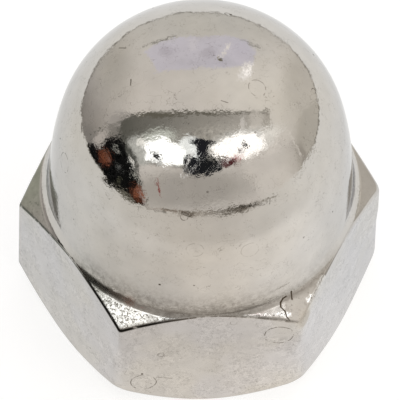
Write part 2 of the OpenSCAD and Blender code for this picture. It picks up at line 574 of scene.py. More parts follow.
# short dark strokes: azimuth and height of both ends, half width, strength
STROKES = (
    ((150.9, 13.84), (151.4, 14.08), 0.020, 0.8), ((-178.0, 14.41), (-173.0, 14.38), 0.020, 0.85),
    ((-71.0, 14.93), (-64.2, 14.87), 0.018, 0.6), ((-108.6, 1.90), (-103.2, 1.73), 0.020, 0.5),
    ((-61.0, 6.28), (-62.4, 6.26), 0.036, 1.0), ((-62.4, 6.26), (-63.8, 6.17), 0.040, 1.0),
    ((-63.8, 6.17), (-64.3, 6.05), 0.040, 1.0), ((-64.3, 6.05), (-63.5, 5.91), 0.034, 1.0),
    ((-63.5, 5.91), (-63.7, 5.76), 0.026, 1.0), ((-63.7, 5.76), (-63.0, 5.60), 0.026, 1.0),
    ((-58.5, 6.34), (-59.3, 6.10), 0.036, 1.0), ((62.0, 12.1), (66.0, 11.8), 0.025, 0.8),
    ((118.0, 4.1), (124.0, 4.4), 0.025, 0.7),
)
# dark specks: azimuth, height, radius
SPECKS = ((-109.6, 7.89, 0.055), (24.1, 12.38, 0.055), (-177.0, 10.63, 0.045), (-113.1, 2.18, 0.05),
          (-33.0, 8.9, 0.04), (48.0, 9.6, 0.05), (112.0, 12.9, 0.05), (66.5, 14.25, 0.06))


# scraped strips on the front right chamfer, bare metal whose tone is also set brighter than the nickel as a
# painted highlight: azimuth and height of both ends, and how far from them the scrape begins and is whole, in
# millimetres
SCRAPES_AND_HIGHLIGHTS = (((-77.5, 6.12), (-62.3, 5.78), 0.11, 0.05), ((-54.0, 5.84), (-44.0, 6.04), 0.14, 0.07))
# what the cool and the warm clouds make of the nickel
CLOUDS = ((0.985, 1.0, 1.03), (1.015, 1.0, 0.965))
# two tones that make the flats cooler, from area to area
FLAT_CLOUDS = ((1.01, 1.015, 1.02), (0.995, 1.01, 1.06))
# tones of the worn chamfer, the corner's bare spot, the scraped strips with their painted highlight, the
# greenish left corner, the rust-brown spot and the black line, a painted dark reflection, and the dark marks
# at the left, dirt and painted reflections alike
WORN_TONE = (0.54, 0.505, 0.462)
CORNER_TONE = (0.60, 0.555, 0.49)
SCRAPE_HIGHLIGHT_TONE = (0.95, 0.94, 0.92)
GREEN_TONE = (0.53, 0.585, 0.47)
BROWN_TONE = (0.24, 0.12, 0.085)
BLACK_TONE = (0.014, 0.012, 0.010)
LEFT_MARK_TONE = (0.055, 0.068, 0.046)
# tint of the nickel's reflection at a grazing angle
GRAZING_TINT = (0.82, 0.83, 0.85)


class Plating:
    """What all parts of the finish read: the place on the nut and its coordinates, the zone
    shares of the mesh, and two noises that several parts share."""

    def __init__(self, net, size):
        self.net = net
        self.outline = Outline(size)
        self.place = net.node("ShaderNodeTexCoord")["Object"]
        self.x, self.y, self.z = net.parts(self.place)
        self.milled, self.chamfer, self.edge, self.bore = (
            net.add("ShaderNodeAttribute", attribute_name=name).outputs["Fac"] for name in Grid.ZONES)
        self.crystal = self.noise(11000, 3, 0.8)
        self.cloud = self.noise(2200, 3, 0.7)

    def noise(self, *settings):
        return self.net.noise(self.place, *settings)

    def away(self, azimuth, height):
        """Distance from a place on the nut, in degrees and millimetres."""
        return self.net.vec("DISTANCE", self.place, self.outline.spot(azimuth, height))

    def near(self, azimuth, height, start, end):
        """The fade by the distance from a place on the nut: 0 at the start, 1 at the end."""
        return self.net.fade_mm(self.away(azimuth, height), start, end)

    def beside(self, start, end):
        """Distance from the straight line between two places on the nut."""
        start, end = self.outline.spot(*start), self.outline.spot(*end)
        along = Vector(end) - Vector(start)
        local = self.net.vec("SUBTRACT", self.place, start)
        share = self.net.vec("DOT_PRODUCT", local, tuple(along))
        share = self.net.math("DIVIDE", share, along.length_squared, clamp=True)
        return self.net.vec("DISTANCE", local, self.net.vec("MULTIPLY", self.net.grey(share), tuple(along)))


def dried_rings(plate):
    """Rings left by dried drops: thin broken shells of equal distance from their centres."""
    net = plate.net
    uneven = net.math("MULTIPLY", plate.noise(2600, 2), 0.10 * MM)
    broken = net.fade(plate.noise(4200, 2), 0.38, 0.55)
    found = []
    for azimuth, height, radius, strength in RINGS:
        away = net.math("ADD", plate.away(azimuth, height), uneven)
        line = net.fade_mm(net.off(away, (radius + 0.05) * MM), 0.03, 0.012)
        found.append(net.math("MULTIPLY", line, strength))
    return net.times(net.most(*found), broken)


def short_strokes(plate):
    """Hair-thin dark strokes between two points, with an uneven border."""
    net = plate.net
    uneven = net.math("MULTIPLY_ADD", plate.noise(5200, 2), 0.05 * MM, -0.025 * MM)
    found = []
    for start, end, half_width, strength in STROKES:
        away = net.math("ADD", plate.beside(start, end), uneven)
        line = net.fade(away, half_width * MM * 1.6, half_width * MM * 0.6)
        found.append(net.math("MULTIPLY", line, strength))
    return net.most(*found)


def specks(plate):
    """Single specks, and small pits scattered over the whole nut."""
    net = plate.net
    found = [net.fade(plate.away(azimuth, height), radius * MM * 1.3, radius * MM * 0.6)
             for azimuth, height, radius in SPECKS]
    away, chance = net.cells(plate.place, 1500)
    reach = net.math("MULTIPLY", chance[1], 0.10)
    pits = net.times(net.math("LESS_THAN", away, reach), net.fade(chance[0], 0.72, 0.8))
    return net.most(*found, net.math("MULTIPLY", pits, 0.55))


def hairlines(plate):
    """Faint curly lines where drops dried and cloths rubbed: thin contours of noise that show
    only here and there."""
    net = plate.net
    wide = net.fade(net.off(plate.noise(1300, 3, 0.6), 0.5), 0.006, 0.0015)
    fine = net.fade(net.off(plate.noise(3300, 3, 0.6), 0.5), 0.012, 0.003)
    here = net.fade(plate.noise(900, 2), 0.50, 0.60)
    there = net.fade(plate.noise(1500, 2, 0.7), 0.50, 0.58)
    return net.most(net.times(wide, here, 0.38), net.times(fine, there, 0.30))


def stained(plate, finish):
    """The nickel's colour with broad warm and cool clouds and finer blotches. The flats are
    cooler, with pale and dark curly lines, and the front one darkens upward."""
    net = plate.net
    clouds = (tuple(c * k for c, k in zip(finish.nickel, tint)) for tint in CLOUDS)
    warm = net.mix(plate.noise(420, 2), *clouds)
    tone = net.fade(plate.noise(1100, 4, 0.6), 0.3, 0.7, 1 - finish.stain, 1 + finish.stain, smooth=False)
    colour = net.vec("MULTIPLY", warm, net.grey(tone))
    curl = plate.noise(2300, 4, 0.7)
    patch = net.fade(plate.noise(800, 2), 0.36, 0.52)
    dark, pale = (net.times(net.fade(net.off(curl, middle), 0.011, 0.003), patch, strength)
                  for middle, strength in ((0.47, 0.38), (0.55, 0.22)))
    line = net.math("ADD", net.without(dark), pale)
    line = net.times(line, net.fade(plate.noise(620, 4, 0.7), 0.36, 0.64, 1.068, 1.102))
    cool = net.mix(net.fade(plate.noise(260, 2), 0.42, 0.58), *FLAT_CLOUDS)
    flat = net.vec("MULTIPLY", net.vec("MULTIPLY", colour, cool), net.grey(line))
    # painted shade: the front flat grows darker toward its top
    shade = net.grey(net.fade_mm(plate.z, 1.5, 4.6, 0.965, 0.875))
    flat = net.vec("MULTIPLY", flat, net.mix(net.fade_mm(plate.y, -6.40, -6.47), (1, 1, 1), shade))
    return net.mix(plate.milled, colour, flat)


def chamfer_wear(plate):
    """The corner chamfers: bright and flaked at the front left, dull and worn at the front
    right. Gives the shares that are flaked, worn and bare at the corner, the two scraped strips,
    whose tone the colour paints brighter as a painted highlight, and the dark marks."""
    net, chamfer, cloud = plate.net, plate.chamfer, plate.cloud
    ragged = net.times(net.math("SUBTRACT", plate.noise(3800, 3, 0.7), 0.5), 0.45 * MM)
    scrapes_and_highlights = [net.fade_mm(net.math("ADD", plate.beside(start, end), ragged), far, close)
               for start, end, far, close in SCRAPES_AND_HIGHLIGHTS]
    flaked = net.times(chamfer, net.most(plate.near(-118.0, 5.8, 2.4, 1.9), *scrapes_and_highlights))
    foot = net.times(net.fade_mm(plate.z, 6.42, 6.16), net.fade_mm(plate.z, 4.2, 4.8),
                     net.without(plate.milled))
    worn = net.fade_mm(net.math("MULTIPLY_ADD", ragged, 0.9, plate.x), 2.85, 3.15)
    worn = net.times(worn, net.fade_mm(plate.y, -3.0, -4.2),
                     net.math("SUBTRACT", foot, net.most(*scrapes_and_highlights), clamp=True))
    corner = plate.near(-57.5, 5.3, 0.6, 0.3)
    pocked = net.times(worn, net.fade(plate.noise(6500, 3, 0.8), 0.54, 0.64),
                       net.fade(cloud, 0.40, 0.58), 0.55)
    rubbed = net.times(chamfer, net.fade_mm(plate.y, -6.26, -6.36), net.fade_mm(plate.z, 5.95, 5.85))
    flakes = net.times(flaked, net.most(net.fade(plate.crystal, 0.44, 0.62, 0.0, 0.85),
                                        net.fade(cloud, 0.50, 0.60, 0.0, 0.50), net.times(rubbed, 0.40)))
    dull = net.times(net.math("SUBTRACT", chamfer, net.most(flaked, worn), clamp=True),
                     net.fade(cloud, 0.3, 0.7, 0.26, 0.44), net.fade_mm(plate.x, 4.0, 6.0, 1.0, 0.56))
    spotted = net.times(plate.near(-172.0, 5.90, 1.5, 0.7), chamfer,
                        net.fade(plate.noise(5600, 3, 0.8), 0.44, 0.64), 0.62)
    return flaked, worn, corner, scrapes_and_highlights, net.most(flakes, dull, spotted, pocked)


def neck_darkening(plate):
    """Dark marks at the foot of the neck's front: a soft and a sharp seam that wander round it, fine
    hairs across them, and a mist above that is partly dirt and partly painted shade."""
    net, x, y, z = plate.net, plate.x, plate.y, plate.z
    front = net.fade_mm(y, -2.6, -4.4)
    bow = net.math("MULTIPLY_ADD", y, -0.27, 4.734 * MM)
    bow = net.math("MAXIMUM", bow, net.fade_mm(x, -1.0, -3.0, 5.9 * MM, 6.28 * MM))
    wander = net.math("SUBTRACT", plate.noise(450, 3, 0.6), 0.5)
    wander = net.math("MULTIPLY_ADD", wander, 0.30 * MM, bow)
    away = net.off(z, wander)
    hairs = net.noise(net.place(plate.place, (2.5, 2.5, 1.0)), 7000, 3, 0.7)
    soft_seam = net.times(net.fade_mm(away, 0.28, 0.04), net.fade(hairs, 0.36, 0.58, 0.35, 1.0))
    sharp_seam = net.times(net.fade_mm(away, 0.07, 0.02), net.fade(plate.noise(1200, 3, 0.6), 0.34, 0.52))
    left_end = plate.near(-133.0, 6.3, 2.2, 0.8)
    fan = net.noise(net.place(plate.place, (3.5, 3.5, 1.0)), 5200, 2, 0.6)
    fan = net.times(net.fade(net.off(fan, 0.5), 0.035, 0.012),
                    net.fade_mm(net.off(z, net.math("ADD", wander, 0.10 * MM)), 0.36, 0.12))
    seam = net.most(net.times(soft_seam, net.fade(left_end, 0, 1, 0.45, 0.85)), net.times(sharp_seam, 0.55),
                    net.times(fan, 0.55))
    seam = net.times(seam, front, net.fade_mm(x, 2.0, 4.5, 1.0, 0.6), net.without(plate.milled))
    # mist: darker toward the bottom of the dome's front, partly dirt and partly painted shade where the dome
    # mirrors the shaded table
    low = net.fade_mm(z, 8.6, 6.3)
    turned = net.without(net.most(plate.milled, plate.chamfer))
    mist = net.times(low, low, net.fade_mm(z, 6.10, 6.16), front, turned,
                     net.fade(plate.noise(4200, 4, 0.8), 0.30, 0.72, 0.25, 1.0),
                     net.fade_mm(x, 0.8, 3.6, 1.0, 0.40))
    return net.most(seam, net.times(mist, 0.65))


def edge_dark_reflections(plate, strip):
    """Painted dark reflections along the upper edges of the flats, where their rounding mirrors dark things:
    thin dark lines, less of them where the strip is scraped, and the share of the black line beside the front
    left corner."""
    net, x = plate.net, plate.x
    line = net.fade(plate.edge, 0.30, 0.75)
    gaps = plate.noise(1600, 3, 0.7)
    black = net.times(line, plate.near(-122.0, 5.5, 3.6, 1.4), net.fade(gaps, 0.30, 0.44))
    # thin dark lines along the flats' upper edges: a painted dark reflection
    edges = net.times(line, net.fade(gaps, 0.32, 0.5), plate.near(-57.0, 5.5, 0.5, 1.0),
                      net.fade_mm(x, -2.0, 4.8, 0.85, 0.60), net.fade_mm(x, 5.0, 6.2, 1.0, 0.2),
                      net.fade(strip, 0, 1, 1.0, 0.2))
    return edges, black


def nickel_plate(finish, size):
    """Bright nickel plate: a mirror with fine ripples on the turned faces, satin on the milled flats, stained
    and speckled on the corner chamfers, with dark marks in the neck, partly painted shade, dried marks, a
    painted highlight on two scraped strips and painted dark reflections along the flats' upper edges."""
    material, net = new_material("nickel_plate")
    plate = Plating(net, size)
    flaked, worn, corner, scrapes_and_highlights, chamfer_marks = chamfer_wear(plate)
    edges, black = edge_dark_reflections(plate, scrapes_and_highlights[1])
    brown = net.times(plate.near(-120.5, 6.31, 0.34, 0.10), net.fade(plate.crystal, 0.40, 0.52))
    green = net.times(plate.chamfer, net.fade_mm(plate.x, -5.6, -6.8), net.fade_mm(plate.y, -1.4, 0.6))
    # marks: dried rings, strokes, specks, hairlines, the neck's dark marks with their partly painted shade,
    # the painted dark reflections along the edges and the chamfers' dark marks
    marks = net.most(dried_rings(plate), short_strokes(plate), specks(plate), hairlines(plate),
                     neck_darkening(plate), edges, chamfer_marks)
    marks = net.times(marks, net.without(plate.bore))

    # colour: each tone covers what lies under it
    # the marks' dark tone, for dirt and for the painted dark reflections and painted shade among the marks
    dried = net.mix(net.fade_mm(plate.x, -3.0, -6.0), tuple(finish.grime), LEFT_MARK_TONE)
    colour = stained(plate, finish)
    for share, tone in (
            (net.times(worn, net.fade(plate.cloud, 0.3, 0.7, 0.70, 0.95)), WORN_TONE),
            (net.times(corner, 0.7), CORNER_TONE),
            # the scraped strips, painted brighter than the nickel: worn metal with a painted highlight
            (net.times(net.most(*scrapes_and_highlights), net.without(plate.milled)), SCRAPE_HIGHLIGHT_TONE),
            (net.times(green, 0.5), GREEN_TONE),
            (marks, dried),
            (net.times(brown, 0.5), BROWN_TONE),
            # the black line beside the front left corner: a painted dark reflection of its rounded edge
            (black, BLACK_TONE)):
        colour = net.mix(share, colour, tone)

    # polish
    rough = net.fade(plate.milled, 0.5, 1, finish.turned_roughness, finish.flat_roughness)
    rough = net.math("ADD", rough, net.fade(plate.noise(1700, 3), 0.45, 0.8, 0, 0.05))
    rough = net.most(rough, *(net.times(share, value) for share, value in (
        (worn, 0.42), (corner, 0.5), (marks, 0.40), (black, 0.4), (plate.bore, 0.25))))

    # ripples: broad waves, orange peel and fine scratches, deeper on the flaked chamfer
    depth = net.fade(plate.noise(900, 2), 0.38, 0.62, 0.4, 1.0)
    waves = net.times(plate.noise(700, 2), 2.0)
    relief = net.math("ADD", waves, net.times(plate.noise(2600, 3, 0.6), depth, 2.2))
    relief = net.math("ADD", relief, net.times(plate.noise(7000, 2, 0.6), depth, depth, 6.0))
    rugged = net.math("MULTIPLY_ADD", flaked, 4.0, net.times(worn, 3.0))
    relief = net.math("ADD", relief, net.times(plate.crystal, rugged))
    bump = net.node("ShaderNodeBump", Strength=1.0, Distance=finish.ripple, Height=relief)[0]
    surface = net.node("ShaderNodeBsdfPrincipled", Metallic=1.0, Specular_Tint=GRAZING_TINT,
                       Base_Color=colour, Roughness=rough, Normal=bump)[0]
    net.node("ShaderNodeOutputMaterial", Surface=surface)
    return material


# ---------------------------------------------------------------- studio

# The room as a mirror ball shows it to the camera. Places are hundredths of the ball's radius
# to the right and upward from its middle. An ellipse is (centre, half width, half height, turn
# in degrees); a panel is the list of its corners, clockwise. Softness and raggedness of the
# border are in the same hundredths, and the colour comes last.
ROOM = (0.83, 0.79, 0.745)
ROOM_SHAPES = (
    # the room's dim left side, its right side and its ceiling
    (((-90, 6), 27, 62, 0), 46, 0, (0.31, 0.29, 0.27)),
    (((88, 12), 24, 60, 0), 40, 0, (0.56, 0.53, 0.475)),
    (((0, 96), 95, 30, 0), 50, 0, (0.75, 0.73, 0.68)),
    (((48, 36), 40, 22, -5), 36, 2, (0.96, 0.92, 0.85)),
    (((68, 42), 13, 26, 0), 14, 0, (0.73, 0.695, 0.635)),
    (((-60, 54), 11, 20, 0), 24, 0, (0.585, 0.56, 0.51)),
    (((-77, 7), 5, 7, 0), 6, 1, (0.30, 0.285, 0.27)),
    # a pale violet sky light with a bright streak and a bright patch beside it
    (((-38, 64), (-28, 70.5), (-12, 74), (16, 74.5), (30, 71.5), (36, 65), (35, 54), (-30, 50.5)),
     1.2, 4.0, (0.79, 0.765, 0.85)),
    (((-24, 64), 5.5, 4, 0), 3, 5, (0.69, 0.66, 0.735)),
    (((4, 62.5), 6.5, 4.5, 10), 3, 6, (0.675, 0.645, 0.715)),
    (((2, 56), 20, 2.6, 0), 3, 3, (0.72, 0.695, 0.77)),
    (((-6, 69), 3.0, 3.6, 0), 2, 5, (0.86, 0.83, 0.90)),
    (((-28, 71), 9, 0.5, 18), 0.4, 1.8, (0.26, 0.25, 0.22)),
    (((34, 68.5), 6, 0.5, -24), 0.4, 1.8, (0.34, 0.33, 0.30)),
    (((25, 63), 6.5, 7, 0), 2.5, 2, (0.80, 0.77, 0.865)),
    (((15.8, 63.9), 7.2, 0.85, 57), 0.5, 0.5, (1.12, 1.07, 1.0)),
    (((12.8, 58), 1.3, 1.1, 0), 0.6, 1.0, (0.24, 0.22, 0.17)),
    (((30.5, 50.6), 4.2, 6.2, -32), 1.6, 7.0, (1.12, 1.09, 1.065)),
    (((31, 50.5), 2.0, 4.2, -32), 1.2, 5.0, (1.5, 1.47, 1.45)),
    # a dim corner at the right, with a pale line along it
    (((66, 22), (90, 40), (90, -8), (66.5, -16), (63, 2)), 6.0, 1.4, (0.63, 0.60, 0.54)),
    (((68.5, -7), 3.0, 9, 14), 3.0, 1.4, (0.46, 0.43, 0.385)),
    (((57.5, 11.2), 0.5, 4.6, 36), 0.5, 0.9, (0.95, 0.91, 0.85)),
    (((62.7, 2.7), 0.5, 6.4, 28), 0.5, 0.9, (0.90, 0.86, 0.80)),
    (((66.1, -5.3), 0.5, 3.4, 14), 0.5, 0.9, (0.86, 0.82, 0.77)),
    # the floor in front, darker under the lamps
    (((-9, -29.6), 42, 13.4, 3), 12, 2, (0.535, 0.508, 0.472)),
    (((50, -25), 13, 10, 30), 6, 2, (0.88, 0.84, 0.79)),
    (((-53, 10), 12, 13, 0), 2.5, 1.5, (0.50, 0.475, 0.45)),
)
# the dark wall above the lamps: its corners, and its ends at the left and right with their colours
BAND = ((-58, 12), (-51.5, 18.4), (-42.9, 21.6), (-36.5, 22.8), (45, 23.5), (48, 6), (44, 0), (26, -11),
        (0, -18), (-25, -14), (-43, -12))
BAND_ENDS = (-58, 45)
BAND_LEFT = (0.11, 0.11, 0.095)
BAND_RIGHT = (0.62, 0.59, 0.54)
BAND_SHAPES = (
    (((-46, 22), (46, 25), (46, 22.2), (-46, 19)), 0.8, 2.4, (0.17, 0.16, 0.13)),
    (((28, 12), 1.6, 10, 0), 1.2, 2.0, (0.80, 0.77, 0.73)),
    (((37, 17), 4.5, 8, 0), 5, 2, (0.77, 0.735, 0.68)),
    (((44.0, 16.5), 1.3, 6, 8), 1.8, 2.4, (0.56, 0.53, 0.475)),
)
LAMP_SHAPES = (
    # haze round the lamps
    (((-41, -3), 10, 10, 0), 6, 5, (0.59, 0.60, 0.57)),
    (((-29, 6), 11, 5, 6), 4, 4, (0.66, 0.69, 0.63)),
    (((-8, -3), 9, 9, 0), 4, 3, (1.06, 1.11, 1.12)),
    (((26, 1.6), 22, 8.4, 12), 5, 4, (0.84, 0.84, 0.81)),
    (((46, 8), 9, 4.6, 32), 3, 6, (0.98, 0.96, 0.91)),
    # the two lamps
    (((-40, 2.6), (-27, 5.8), (-12, -2), (-11, -13), (-24, -13.5), (-38, -9.5)), 2.6, 4.4, (1.75, 1.8, 1.8)),
    (((7, -1), (15, 4.5), (29, 9), (41, 6.5), (44, 0), (33, -7.5), (22, -10), (8, -6)),
     2.6, 4.6, (1.62, 1.60, 1.57)),
    (((-41, 2), 3.5, 3.0, 0), 2, 4, (1.1, 1.1, 1.05)),
)
# where fine streaks make the light uneven
LAMP_STREAKS = ((3, 0.5), 48, 12.5, 5)
FRONT_SHAPES = (
    # specks on the lamps
    (((-30.4, -6.8), 3.8, 2.4, -46), 0.7, 3.4, (0.03, 0.03, 0.03)),
    (((29.6, 0.5), 2.1, 2.3, 0), 0.6, 2.4, (0.02, 0.02, 0.025)),
    (((26, -3.9), 2.6, 0.9, 38), 0.6, 2.6, (0.05, 0.05, 0.05)),
    # the camera on its stand
    (((1.0, 2.4), 8.4, 2.6, 0), 0.8, 2.6, (0.02, 0.02, 0.025)),
    (((-3.4, 2), (3.8, 2), (4.6, -9.5), (-3.6, -9.5)), 0.8, 2.2, (0.02, 0.02, 0.025)),
    (((7.6, -6.4), 4.2, 0.9, -20), 0.5, 1.6, (0.04, 0.04, 0.045)),
    (((21.0, -8.9), 5.6, 2.2, 30), 1.2, 6.5, (0.60, 0.165, 0.175)),
    (((17.0, -11.2), 6.0, 3.4, 18), 1.0, 3.4, (0.11, 0.030, 0.034)),
    (((-7.0, -13.4), 5.6, 7.0, 0), 0.8, 4.0, (0.018, 0.02, 0.023)),
    (((-3, -8), (6, -8), (14.5, -9.8), (14.5, -16.5), (4, -20.6), (-5, -20.6)),
     0.8, 1.8, (0.016, 0.018, 0.02)),
    (((-8.5, -9.5), 2.8, 0.3, 62), 0.5, 5.0, (1.20, 1.20, 1.20)),
    (((-6.2, -15.5), 2.4, 0.2, 50), 0.5, 4.4, (0.95, 0.95, 0.95)),
    (((22, -7.6), 4.6, 0.4, 32), 0.5, 5.6, (1.50, 1.46, 1.44)),
    # a dark coat hung at the room's left, with two warm patches and pale glints
    (((-60, 8), (-54, 7), (-44, -8), (-40.5, -24), (-39, -40), (-70, -40), (-70, 0)),
     3.0, 3.0, (0.085, 0.088, 0.077)),
    (((-63, 14), (-56, 16), (-56, 6), (-62.5, 5.5)), 3.0, 2.0, (0.30, 0.285, 0.265)),
    (((-84, -1), (-62, 6), (-55.5, 5.8), (-50.5, -5), (-46, -15), (-42, -26), (-39, -38), (-39, -46),
      (-60, -46), (-84, -20)), 1.2, 3.4, (0.012, 0.012, 0.012)),
    (((-73.4, 4.4), (-68.5, 10.5), (-63, 6.1), (-69.6, -3.1)), 0.7, 1.4, (0.61, 0.575, 0.545)),
    (((-67, 12.2), 5.5, 0.5, 22), 0.5, 1.4, (0.08, 0.08, 0.07)),
    (((-57.6, -2.6), 0.8, 3.4, 38), 0.7, 1.2, (0.60, 0.60, 0.56)),
    (((-46.9, -10.6), 0.65, 5.0, 24), 0.6, 0.7, (0.95, 0.95, 0.91)),
    (((-45.2, -19.8), 2.2, 1.7, -35), 0.8, 1.6, (0.48, 0.48, 0.44)),
    (((-56.5, -14), 2.6, 0.9, -50), 0.8, 2.6, (0.16, 0.165, 0.16)),
    (((-56.5, -23.5), 1.0, 1.6, 10), 0.8, 2.6, (0.20, 0.20, 0.14)),
    (((-65.5, -8.5), 4.6, 5.6, 12), 1.6, 4.4, (0.15, 0.052, 0.034)),
    (((-65.5, -7.4), 3.2, 4.2, 12), 2.0, 8.0, (0.33, 0.115, 0.062)),
    (((-64.2, -7.0), 0.6, 3.2, 24), 0.5, 3.0, (0.42, 0.26, 0.21)),
    (((-43.8, -31.6), 4.2, 5.8, 24), 1.4, 4.4, (0.16, 0.062, 0.040)),
    (((-42.6, -32.6), 3.0, 4.4, 24), 2.0, 8.0, (0.34, 0.125, 0.070)),
    (((-40.8, -34), 0.7, 3.4, 24), 0.5, 2.6, (0.50, 0.36, 0.32)),
    # a thin red stroke and a thin dark one
    (((-29, -28.6), 0.45, 5.2, 15), 0.4, 0.8, (0.30, 0.06, 0.05)),
    (((-36.6, -37.6), 0.5, 2.3, 0), 0.4, 0.8, (0.14, 0.11, 0.08)),
)
# where fine folds make the coat's colours uneven
COAT_FOLDS = ((-71, 0), (-62, 5), (-56, 5), (-45, -22), (-39, -40), (-60, -46), (-84, -10))
# the edge of the table as the ball shows it: centre, half width, half height, and how much it
# bulges toward the lower left
RIM = ((-1.2, 22.6), 81.4, 68.3)
RIM_BULGE = 0.038
# how much it is dented at its upper left and upper right
RIM_DENTS = ((-0.93, 0.022), (0.93, 0.012))
RIM_SHAPES = (
    (((-7, -46.6), 8, 1.2, -4), 1.2, 4.0, (0.34, 0.30, 0.25)),
    (((4, -45.2), 15, 1.2, 2), 1.0, 3.0, (0.40, 0.36, 0.31)),
    (((-11, -45.5), 4, 1.4, -12), 1.0, 3.6, (0.12, 0.10, 0.08)),
    (((24, -42.6), 14, 2.2, 12), 1.4, 4.6, (0.24, 0.21, 0.175)),
    (((27, -41.6), 13, 0.9, 12), 0.8, 4.2, (0.055, 0.048, 0.040)),
    (((-22, -43.6), 12, 0.6, -8), 0.8, 2.0, (0.36, 0.30, 0.25)),
    (((44, -36.4), 6, 0.6, 24), 0.6, 2.4, (0.30, 0.27, 0.23)),
    (((-52, -33.5), 8, 1.6, -38), 1.2, 3.2, (0.22, 0.21, 0.17)),
)
# painted light: what metal sees of the table, each side's tone standing for the light on it, lighter and
# cooler at the back, dimmer at the left and warmer at the front: axis, sign and tone of its right, left, back
# and front
TABLE_SIDE_LIGHT = ((0, 1, (0.99, 1.0, 1.01)), (0, -1, (0.875, 0.885, 0.885)),
               (1, 1, (1.06, 1.07, 1.08)), (1, -1, (0.925, 0.892, 0.857)))
# painted shade: how much the table's front tone falls far from the nut, and painted shadow of the nut: its
# whole tone close to the nut
FRONT_FAR_SHADE = 0.84
CLOSE_SHADOW = 0.985
# painted light: what the table's warmth makes of its tone near the nut and far from it; far away it is darker
# and warmer
TABLE_WARM = ((1.0, 0.985, 0.955), (0.968, 0.948, 0.908))
# the table's own light for the camera, which makes it white, and how far it lies under the nut
TABLE_GLOW = 0.69
TABLE_DROP = 0.02 * MM
# tone of the thin dark line along the edge of the table
RIM_TONE = (0.18, 0.165, 0.135)
WHITE = (1, 1, 1)


def camera_axes(stage):
    """Unit vectors to the camera, to its right and upward in its view, with its roll."""
    a, e, r = stage.azimuth, stage.elevation, stage.roll
    back = Vector((math.sin(a) * math.cos(e), -math.cos(a) * math.cos(e), math.sin(e)))
    side = Vector((math.cos(a), math.sin(a), 0))
    up = back.cross(side)
    return back, side * math.cos(r) + up * math.sin(r), up * math.cos(r) - side * math.sin(r)


def table_light_and_shade(net, direction, distance):
    """The table's painted light and shade from a flat direction: each side's colour, which stands for the
    light on that side, weighted by the square of the direction's share on that side. The front falls to
    FRONT_FAR_SHADE with the distance, a painted shade, and close to the nut, where it shades the table, the
    tone falls to CLOSE_SHADOW, a painted shadow; that is painted a little darker at the front left, and the
    front right is painted lighter."""
    flat = net.vec("NORMALIZE", net.vec("MULTIPLY", direction, (1, 1, 0)))
    unit = net.parts(flat)
    shares = []
    total = None
    for axis, sign, tone in TABLE_SIDE_LIGHT:
        share = net.math("MAXIMUM", net.math("MULTIPLY", unit[axis], sign), 0.0)
        shares.append(net.math("MULTIPLY", share, share))
        part = net.vec("MULTIPLY", net.grey(shares[-1]), tone)
        total = part if total is None else net.vec("ADD", total, part)
    front = shares[-1]
    dim = net.without(net.times(front, net.fade_mm(distance, 14, 34, 0.0, 1 - FRONT_FAR_SHADE)))
    close = net.fade_mm(distance, 9.8, 12.8, CLOSE_SHADOW, 1.0)
    front_left = net.fade(net.vec("DOT_PRODUCT", flat, (-0.64, -0.77, 0)), 0.80, 0.97)
    shade = net.times(front_left, net.fade_mm(distance, 10, 11.5), net.fade_mm(distance, 22, 15), 0.13)
    front_right = net.fade(net.vec("DOT_PRODUCT", flat, (0.66, -0.75, 0)), 0.78, 0.96)
    shade = net.math("SUBTRACT", shade, net.times(front_right, net.fade_mm(distance, 28, 20), 0.085))
    dim = net.times(dim, close, net.without(shade))
    warm = net.mix(net.fade_mm(distance, 18, 36), *TABLE_WARM)
    return net.vec("MULTIPLY", net.vec("MULTIPLY", total, warm), net.grey(dim))


def outside(net, spot, shape):
    """How far a spot lies outside a shape, in hundredths; less than 0 inside. For an ellipse
    of half width a and half height b it is (length(u / a, v / b) - 1) times the smaller of the
    two; for a panel it is the largest distance beyond the lines through its sides."""
    if isinstance(shape[1], (int, float)):
        centre, half_width, half_height, turn = shape
        local = net.place(spot, (half_width, half_height, 1), (*centre, 0), math.radians(turn))
        away = net.math("SUBTRACT", net.vec("LENGTH", local), 1.0)
        return net.math("MULTIPLY", away, min(half_width, half_height))
    sides = []
    for (x0, y0), (x1, y1) in zip(shape, shape[1:] + shape[:1]):
        normal = Vector((y0 - y1, x1 - x0, 0)).normalized()
        sides.append(net.math("SUBTRACT", net.vec("DOT_PRODUCT", spot, tuple(normal)),
                              normal.x * x0 + normal.y * y0))
    return net.most(*sides)


def inside(net, spot, ragged, shape, soft, rag):
    """1 inside a shape and 0 outside; ragged noise moves its border in and out."""
    away = outside(net, spot, shape)
    if rag:
        away = net.math("MULTIPLY_ADD", ragged, rag, away)
    return net.fade(away, soft / 2, -soft / 2)


def paint(net, spot, ragged, colour, shapes):
    for *shape, tone in shapes:
        colour = net.mix(inside(net, spot, ragged, *shape), colour, tone)
    return colour


def streaked(net, spot, ragged, colour, area, turn, stretch, noise, tones, smooth=True):
    """A colour that stretched noise makes lighter and darker inside an area. The tones are the
    noise's darkest and lightest value and what they make of the colour."""
    streaks = net.noise(net.place(spot, (stretch, 1.0, 1.0), turn=math.radians(turn)), *noise)
    streaks = net.grey(net.fade(streaks, *tones, smooth=smooth))
    return net.vec("MULTIPLY", colour, net.mix(inside(net, spot, ragged, *area), WHITE, streaks))


def table_edge(net, spot):
    """The edge of the table as the ball shows it: an ellipse's length(u / a, v / b), less a
    bulge at the lower left, with two dents at the top. It is 1 on the edge."""
    (cx, cy), width, height = RIM
    local = net.place(spot, (width, height, 1), (cx, cy, 0))
    bulge = net.fade(net.vec("DOT_PRODUCT", local, (-0.56, -0.83, 0)), 0.955, 0.995, 0.0, RIM_BULGE)
    dents = [net.fade(net.vec("DOT_PRODUCT", local, (aim, 0.37, 0)), 0.65, 1.0, 0.0, depth)
             for aim, depth in RIM_DENTS]
    return net.math("ADD", net.math("SUBTRACT", net.vec("LENGTH", local), bulge), net.most(*dents))


